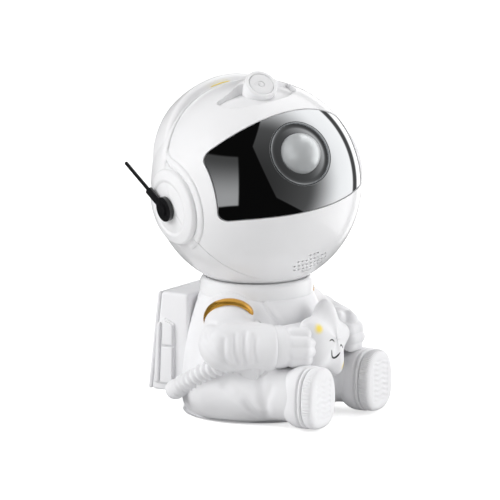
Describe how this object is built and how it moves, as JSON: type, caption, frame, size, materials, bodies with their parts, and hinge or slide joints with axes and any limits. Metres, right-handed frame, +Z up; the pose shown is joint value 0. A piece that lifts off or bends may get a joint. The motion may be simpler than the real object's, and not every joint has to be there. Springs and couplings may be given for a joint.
{
  "type": "star projector",
  "caption": "Seated astronaut figure with a swivelling, tilting globe helmet that projects a nebula and stars; smoked visor, backpack, side hoses, antenna and a star toy on its lap.",
  "frame": {"origin": "centre of the anti-slip pad's underside, on the table, below the centre of the helmet", "axes": "+Z up; the seated figure faces -Y and its left side is +X"},
  "size_m": [0.1388, 0.1398, 0.2232],
  "materials": {
    "white_gloss": "glossy injection-moulded shell",
    "white_satin": "satin moulded suit",
    "visor_black": "mirror-gloss smoked visor",
    "lens_blue": "dark coated projection lens",
    "clear_lens": "clear moulded lens",
    "nebula_film": "dyed pattern disc",
    "gear_white": "acetal",
    "motor_steel": "plated can",
    "steel": "zinc-plated",
    "aluminium": "extruded",
    "board_green": "solder-masked laminate",
    "black_plastic": "gloss black",
    "black_matte": "matt black",
    "grey_key": "light grey keys",
    "window_clear": "frosted window",
    "gold": "warm gold lacquer",
    "hose_white": "satin corrugated",
    "star_white": "satin, with printed face",
    "rubber_pad": "anti-slip",
    "magnet": "nickel-plated magnet",
    "ballast": "plain weight"
  },
  "bodies": {
    "figure": {"base_screws": "steel", "trunk_front_shell": "white_satin", "trunk_rear_shell": "white_satin", "base_plate": "white_satin", "anti_slip_pad": "rubber_pad", "ballast_weight": "ballast", "collar_ring": "white_gloss", "left_arm": "white_satin", "right_arm": "white_satin", "left_glove": "white_satin", "right_glove": "white_satin", "left_shoulder_ring": "gold", "right_shoulder_ring": "gold", "left_leg": "white_satin", "right_leg": "white_satin", "left_boot": "white_satin", "right_boot": "white_satin", "left_sole": "white_satin", "right_sole": "white_satin", "star_toy": "star_white", "backpack_body": "white_satin", "backpack_cover": "white_satin", "left_side_pocket": "white_satin", "right_side_pocket": "white_satin", "left_hose": "hose_white", "right_hose": "hose_white"},
    "neck": {"neck_seat": "white_gloss", "neck_magnet": "magnet", "spindle_clip": "black_matte"},
    "head": {"helmet_front_shell": "white_gloss", "helmet_rear_shell": "white_gloss", "shell_screws": "steel", "visor": "visor_black", "nebula_lens": "lens_blue", "lens_barrel": "black_matte", "condenser_lens": "clear_lens", "inner_frame": "black_matte", "light_board": "board_green", "heatsink": "aluminium", "disc_motor": "motor_steel", "laser_pod": "white_gloss", "laser_window": "window_clear", "laser_module": "steel", "speaker": "black_matte", "keeper_plate": "steel", "headband": "white_gloss", "right_ear_pod": "white_gloss", "left_ear_pod": "white_gloss", "left_ear_cap": "black_plastic", "antenna_pin": "black_plastic", "control_board": "board_green", "key_switches": "black_matte", "power_inlet": "black_matte"},
    "antenna": {"antenna_hub": "black_plastic", "antenna_rod": "black_plastic"},
    "disc": {"nebula_disc": "nebula_film"},
    "pinion": {"motor_pinion": "gear_white"},
    "nebula_key": {"nebula_button": "grey_key"},
    "power_key": {"power_button": "grey_key"},
    "star_key": {"star_button": "grey_key"}
  },
  "joints": [
    {"name": "head_swivel", "type": "hinge", "parent": "figure", "child": "neck", "pos_m": [0, 0, 0.1476], "axis": [0, 0, 1], "continuous": true},
    {"name": "head_tilt", "type": "hinge", "parent": "neck", "child": "head", "pos_m": [0, 0, 0.1476], "axis": [0.8796, -0.4756, 0], "range_deg": [-11, 41]},
    {"name": "antenna_pivot", "type": "hinge", "parent": "head", "child": "antenna", "pos_m": [-0.06321, 0.02871, 0.13788], "axis": [0.9017, -0.4096, 0.1387], "range_deg": [-60, 60]},
    {"name": "disc_spin", "type": "hinge", "parent": "head", "child": "disc", "pos_m": [0.00798, -0.0164, 0.15544], "axis": [0.4264, 0.7886, -0.4431], "continuous": true},
    {"name": "pinion_spin", "type": "hinge", "parent": "head", "child": "pinion", "pos_m": [0.00595, -0.02931, 0.13051], "axis": [0.4264, 0.7886, -0.4431], "continuous": true},
    {"name": "nebula_press", "type": "slide", "parent": "head", "child": "nebula_key", "axis": [-0.4264, -0.7886, 0.4431], "range_m": [0, 0.0012], "stiffness_N_per_m": 300, "springref_m": -0.002},
    {"name": "power_press", "type": "slide", "parent": "head", "child": "power_key", "axis": [-0.4264, -0.7886, 0.4431], "range_m": [0, 0.0012], "stiffness_N_per_m": 300, "springref_m": -0.002},
    {"name": "star_press", "type": "slide", "parent": "head", "child": "star_key", "axis": [-0.4264, -0.7886, 0.4431], "range_m": [0, 0.0012], "stiffness_N_per_m": 300, "springref_m": -0.002}
  ],
  "couplings": [
    {"joint": "pinion_spin", "follows": "disc_spin", "ratio": -6}
  ]
}
